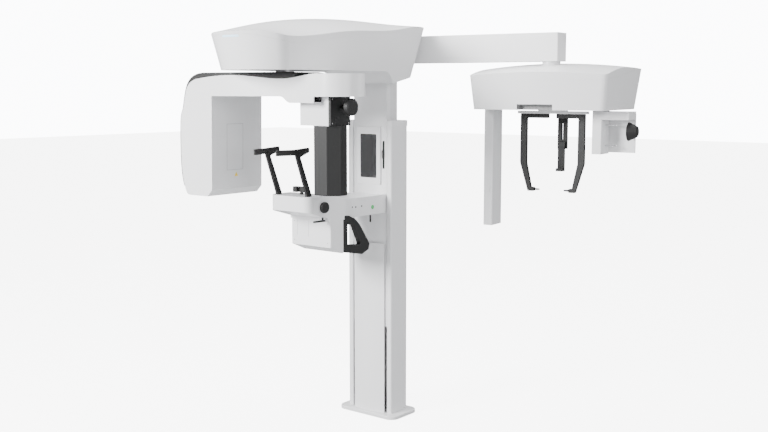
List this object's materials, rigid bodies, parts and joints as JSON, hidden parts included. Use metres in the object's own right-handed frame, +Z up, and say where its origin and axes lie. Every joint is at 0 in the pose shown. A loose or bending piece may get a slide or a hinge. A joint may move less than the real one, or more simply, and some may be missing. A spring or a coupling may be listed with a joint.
{
  "type": "panoramic xray machine",
  "caption": "Panoramic dental x-ray machine on a white column, rotating C-arm under a crowned housing, chin support with handles and a cephalometric unit on a side arm",
  "frame": {"origin": "centre of the base plate's underside", "axes": "+Z up, -Y towards the patient, +X towards the cephalometric unit"},
  "size_m": [1.9771, 1.7003, 2.1462],
  "materials": {
    "white_cover": "satin moulded cover",
    "white_paint": "satin powder coat",
    "black_cover": "satin black moulding",
    "dark_plastic": "fine texture",
    "grey_plastic": "fine texture",
    "grey_mirror": "tinted mirror",
    "aluminium": "machined",
    "steel": "brushed",
    "pin_steel": "polished",
    "light_blue": "backlit diffuser",
    "green_key": "moulded"
  },
  "bodies": {
    "column": {"base_plate": "white_paint", "column_profile": "white_paint", "column_cap": "white_cover", "lower_front_cover": "white_cover", "guide_rails": "steel", "lift_motor": "steel", "cable_gland": "dark_plastic"},
    "carriage": {"inner_column": "white_paint", "lower_moving_cover": "white_cover", "upper_moving_cover": "white_cover", "mirror_frame": "white_cover", "mirror": "grey_mirror", "light_track": "dark_plastic", "lift_rod": "steel", "guide_blocks": "aluminium", "head_housing": "white_cover", "head_lid": "white_cover", "status_light": "light_blue", "head_frame": "aluminium", "pivot_bearing": "steel", "support_arm": "white_cover", "support_box": "white_cover", "chin_tray": "white_cover", "cord_peg": "dark_plastic", "left_handle": "black_cover", "right_handle": "black_cover", "ceph_arm": "white_paint", "ceph_collar": "white_paint", "ceph_housing": "white_cover", "ceph_lid": "white_cover", "ceph_panel": "grey_plastic", "ceph_frame": "aluminium"},
    "light_slider": {"light_lever": "black_cover"},
    "c_arm": {"arm_fascia": "white_cover", "tube_cover": "white_cover", "arm_spine": "black_cover", "arm_frame": "aluminium", "tube_unit": "aluminium", "sensor_mount": "white_cover", "dock_block": "black_cover", "sensor": "black_cover"},
    "sensor_lock": {"sensor_knob": "black_cover"},
    "temple_knob": {"support_knob": "black_cover"},
    "tray_lever": {"support_lever": "black_cover"},
    "start_key": {"start_button": "green_key"},
    "light_key": {"light_button": "dark_plastic"},
    "up_key": {"up_button": "dark_plastic"},
    "down_key": {"down_button": "dark_plastic"},
    "temple_left": {"left_temple": "black_cover"},
    "temple_right": {"right_temple": "black_cover"},
    "chin_support": {"chin_rest": "black_cover"},
    "ceph_collimator": {"ceph_post": "white_cover"},
    "ceph_sensor": {"sensor_bracket": "white_cover", "bracket_pins": "pin_steel"},
    "ceph_sensor_lock": {"bracket_knob": "black_cover"},
    "ceph_head_support": {"ceph_rotor": "white_cover"},
    "ear_left": {"left_ear_rod": "black_cover"},
    "ear_right": {"right_ear_rod": "black_cover"},
    "nasion_slide": {"nasion_support": "black_cover"},
    "nasion_fold": {"nasion_rest": "black_cover"}
  },
  "joints": [
    {"name": "lift", "type": "slide", "parent": "column", "child": "carriage", "axis": [0, 0, 1], "range_m": [-0.15, 0.3]},
    {"name": "c_arm_rotation", "type": "hinge", "parent": "carriage", "child": "c_arm", "pos_m": [0, -0.719, 1.87], "axis": [0, 0, 1], "range_deg": [-180, 180]},
    {"name": "sensor_lock_turn", "type": "hinge", "parent": "c_arm", "child": "sensor_lock", "pos_m": [0.358, -0.708, 1.71], "axis": [1, 0, 0], "range_deg": [-90, 90]},
    {"name": "light_slide", "type": "slide", "parent": "carriage", "child": "light_slider", "axis": [0, 0, 1], "range_m": [-0.05, 0.05]},
    {"name": "temple_right_slide", "type": "slide", "parent": "carriage", "child": "temple_right", "axis": [1, 0, 0], "range_m": [-0.012, 0.012]},
    {"name": "temple_left_slide", "type": "slide", "parent": "carriage", "child": "temple_left", "axis": [1, 0, 0], "range_m": [-0.012, 0.012]},
    {"name": "temple_knob_turn", "type": "hinge", "parent": "carriage", "child": "temple_knob", "pos_m": [0.1353, -0.599, 1.209], "axis": [1, 0, 0], "range_deg": [-45, 45]},
    {"name": "tray_lever_turn", "type": "hinge", "parent": "carriage", "child": "tray_lever", "pos_m": [0.108, -0.573, 1.14], "axis": [0, 0, 1], "range_deg": [-30, 30]},
    {"name": "chin_slide", "type": "slide", "parent": "carriage", "child": "chin_support", "axis": [0, 0, 1], "range_m": [0, 0.05]},
    {"name": "start_key_press", "type": "slide", "parent": "carriage", "child": "start_key", "axis": [-1, 0, 0], "range_m": [0, 0.002], "stiffness_N_per_m": 600},
    {"name": "light_key_press", "type": "slide", "parent": "carriage", "child": "light_key", "axis": [-1, 0, 0], "range_m": [0, 0.002], "stiffness_N_per_m": 600},
    {"name": "up_key_press", "type": "slide", "parent": "carriage", "child": "up_key", "axis": [-1, 0, 0], "range_m": [0, 0.002], "stiffness_N_per_m": 600},
    {"name": "down_key_press", "type": "slide", "parent": "carriage", "child": "down_key", "axis": [-1, 0, 0], "range_m": [0, 0.002], "stiffness_N_per_m": 600},
    {"name": "ceph_collimator_slide", "type": "slide", "parent": "carriage", "child": "ceph_collimator", "axis": [-0.1219, 0.9925, 0], "range_m": [-0.09, 0.09]},
    {"name": "ceph_sensor_slide", "type": "slide", "parent": "carriage", "child": "ceph_sensor", "axis": [-0.1219, 0.9925, 0], "range_m": [-0.09, 0.09]},
    {"name": "ceph_sensor_lock_turn", "type": "hinge", "parent": "ceph_sensor", "child": "ceph_sensor_lock", "pos_m": [1.34536, 0.27382, 1.588], "axis": [0.9925, 0.1219, 0], "range_deg": [-90, 90]},
    {"name": "ceph_head_support_turn", "type": "hinge", "parent": "carriage", "child": "ceph_head_support", "pos_m": [0.9404, 0.2241, 1.69], "axis": [0, 0, 1], "range_deg": [-90, 90]},
    {"name": "ear_right_slide", "type": "slide", "parent": "ceph_head_support", "child": "ear_right", "axis": [0.9925, 0.1219, 0], "range_m": [-0.015, 0.012]},
    {"name": "ear_left_slide", "type": "slide", "parent": "ceph_head_support", "child": "ear_left", "axis": [0.9925, 0.1219, 0], "range_m": [-0.012, 0.015]},
    {"name": "nasion_slide_out", "type": "slide", "parent": "ceph_head_support", "child": "nasion_slide", "axis": [-0.1219, 0.9925, 0], "range_m": [-0.012, 0.02]},
    {"name": "nasion_fold_turn", "type": "hinge", "parent": "nasion_slide", "child": "nasion_fold", "pos_m": [0.94323, 0.34051, 1.521], "axis": [0.9925, 0.1219, 0], "range_deg": [-100, 0]}
  ],
  "couplings": [
    {"joint": "temple_left_slide", "follows": "temple_right_slide", "ratio": -1},
    {"joint": "ceph_sensor_slide", "follows": "ceph_collimator_slide", "ratio": 1},
    {"joint": "ear_left_slide", "follows": "ear_right_slide", "ratio": -1}
  ]
}
